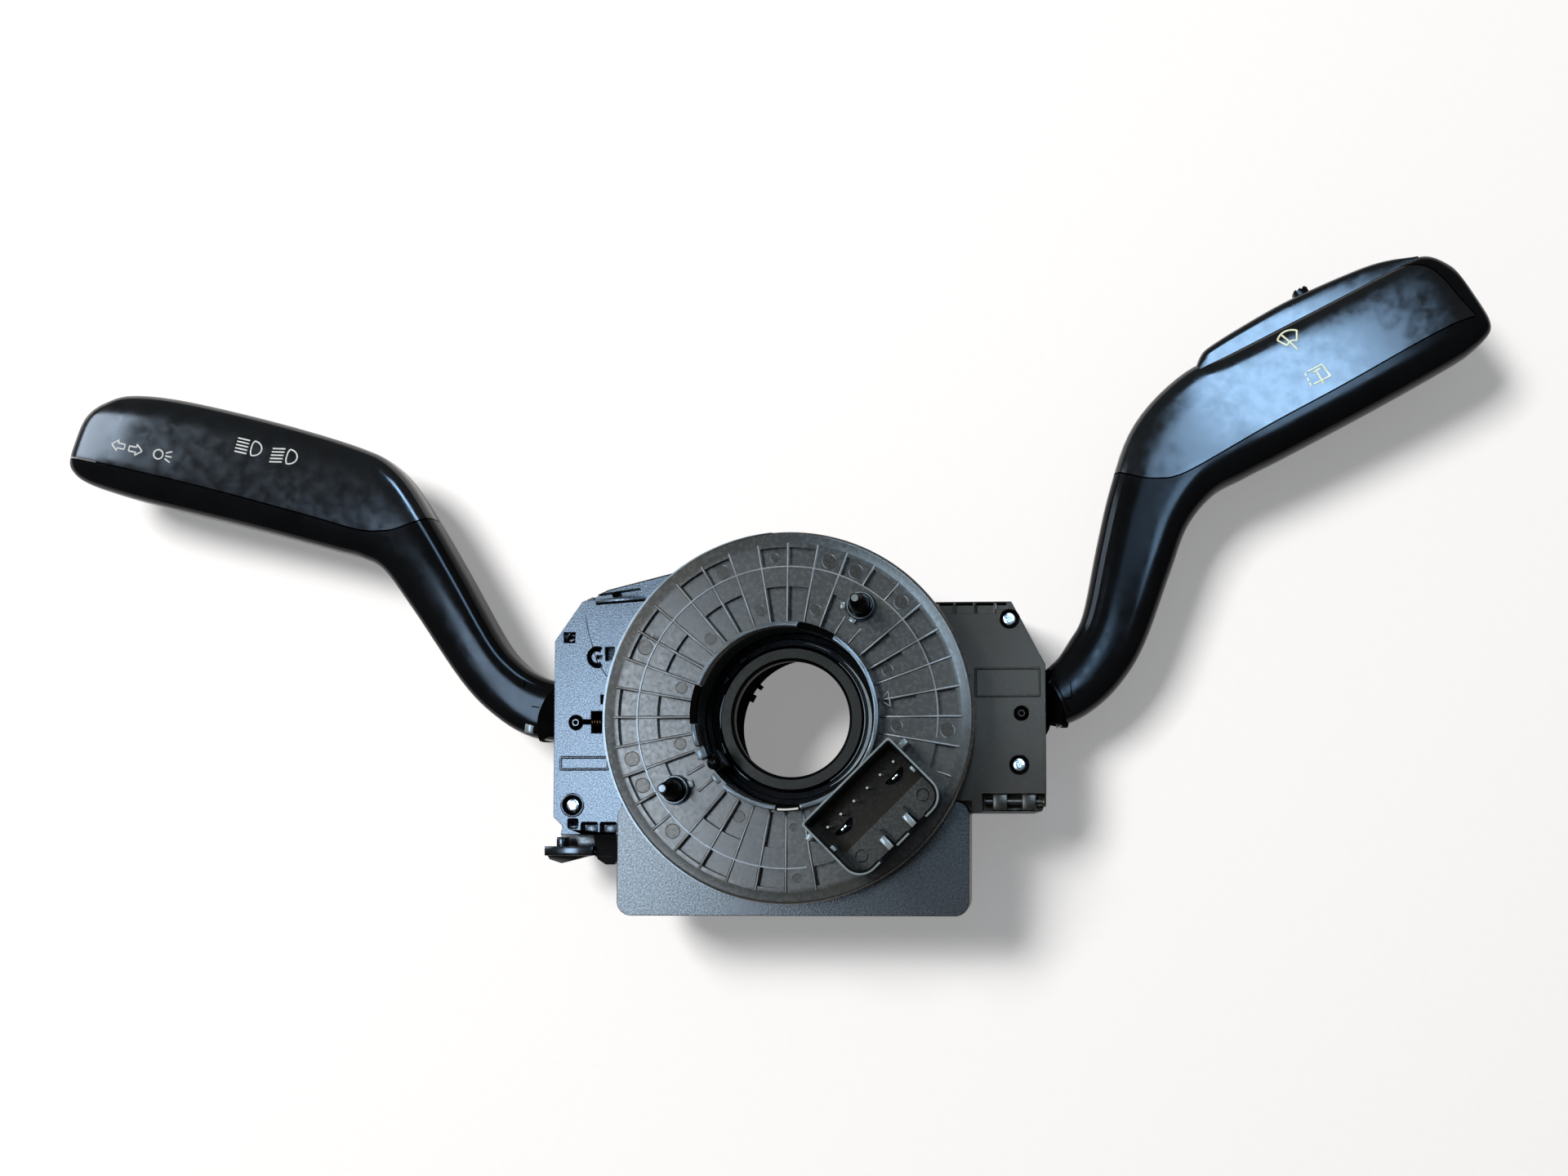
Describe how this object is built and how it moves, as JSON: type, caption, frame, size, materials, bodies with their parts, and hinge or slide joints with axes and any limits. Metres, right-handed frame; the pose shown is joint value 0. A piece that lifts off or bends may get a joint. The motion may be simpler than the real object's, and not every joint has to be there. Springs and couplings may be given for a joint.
{
  "type": "steering column switch",
  "caption": "Steering column switch assembly with a turning centre disc for the wheel's cable, a turn lever on the left and a wiper lever on the right.",
  "frame": {"origin": "centre of the column collar's bore at its rear face", "axes": "+Z along the steering column towards the driver, +X to the right as the driver sees it, +Y upwards"},
  "size_m": [0.4542, 0.2049, 0.061],
  "materials": {
    "black_plastic": "fine grain moulded black",
    "grey_plastic": "moulded dark grey",
    "cover_plastic": "soft satin grain, handle cover",
    "white_plastic": "natural low friction plastic",
    "steel": "zinc plated",
    "brass": "tinned contacts and turned brass",
    "copper": "bare copper alloy strip",
    "film": "flat cable film",
    "board": "solder mask"
  },
  "bodies": {
    "base": {"base_carrier": "black_plastic", "column_clamp_bolt": "steel", "clock_spring_housing": "grey_plastic", "ribbon_coil": "film", "left_housing": "black_plastic", "left_cover": "black_plastic", "right_housing": "black_plastic", "right_cover": "black_plastic", "cover_screws": "steel", "rear_screws": "steel", "left_detent_cam": "white_plastic", "right_detent_cam": "white_plastic", "left_contact_board": "board", "right_contact_board": "board", "left_contact_spring": "copper", "rear_plug_socket": "black_plastic", "rear_plug_pins": "brass", "main_circuit_board": "board", "hinge_axle": "black_plastic", "latch_bracket": "grey_plastic"},
    "rotor": {"rotor_disc": "black_plastic", "cancel_ring": "steel", "cancel_cam_sleeve": "black_plastic", "driver_pins": "black_plastic", "pin_clips": "steel", "wheel_plug_socket": "black_plastic", "wheel_plug_pins": "brass", "squib_contacts": "brass", "rotor_lock_pin": "grey_plastic"},
    "latch": {"latch_lever": "black_plastic"},
    "left_turn_yoke": {"left_yoke": "white_plastic"},
    "left_lever": {"left_lever_head": "black_plastic", "left_cross_pin": "steel", "left_detent_plunger": "brass", "left_detent_spring": "steel", "left_stalk": "black_plastic", "left_stalk_cover": "cover_plastic"},
    "right_turn_yoke": {"right_yoke": "white_plastic"},
    "right_lever": {"right_lever_head": "black_plastic", "right_cross_pin": "steel", "right_detent_plunger": "brass", "right_detent_spring": "steel", "right_stalk": "black_plastic", "right_stalk_cover": "cover_plastic", "interval_rail": "black_plastic"},
    "interval_knob": {"interval_slider": "black_plastic"}
  },
  "joints": [
    {"name": "rotor_spin", "type": "hinge", "parent": "base", "child": "rotor", "pos_m": [0, 0, 0.04], "axis": [0, 0, 1], "range_deg": [-900, 900]},
    {"name": "left_turn", "type": "hinge", "parent": "base", "child": "left_turn_yoke", "pos_m": [-0.0691, -0.0002, 0.0165], "axis": [0, 0, 1], "range_deg": [-8, 8]},
    {"name": "left_beam", "type": "hinge", "parent": "left_turn_yoke", "child": "left_lever", "pos_m": [-0.0691, -0.0002, 0.0165], "axis": [0.4617, 0.887, 0], "range_deg": [0, 7], "stiffness_Nm_per_rad": 0.6, "springref_deg": -6.88},
    {"name": "right_wipe", "type": "hinge", "parent": "base", "child": "right_turn_yoke", "pos_m": [0.0695, 0.0022, 0.0165], "axis": [0, 0, 1], "range_deg": [-6, 14]},
    {"name": "right_wash", "type": "hinge", "parent": "right_turn_yoke", "child": "right_lever", "pos_m": [0.0695, 0.0022, 0.0165], "axis": [0.682, -0.7314, 0], "range_deg": [0, 7], "stiffness_Nm_per_rad": 0.6, "springref_deg": -6.88},
    {"name": "interval_slide", "type": "slide", "parent": "right_lever", "child": "interval_knob", "axis": [0.8942, 0.4478, 0], "range_m": [-0.0045, 0.0045]},
    {"name": "latch_release", "type": "hinge", "parent": "base", "child": "latch", "pos_m": [-0.065, -0.0407, 0.02], "axis": [1, 0, 0], "range_deg": [0, 30]}
  ]
}
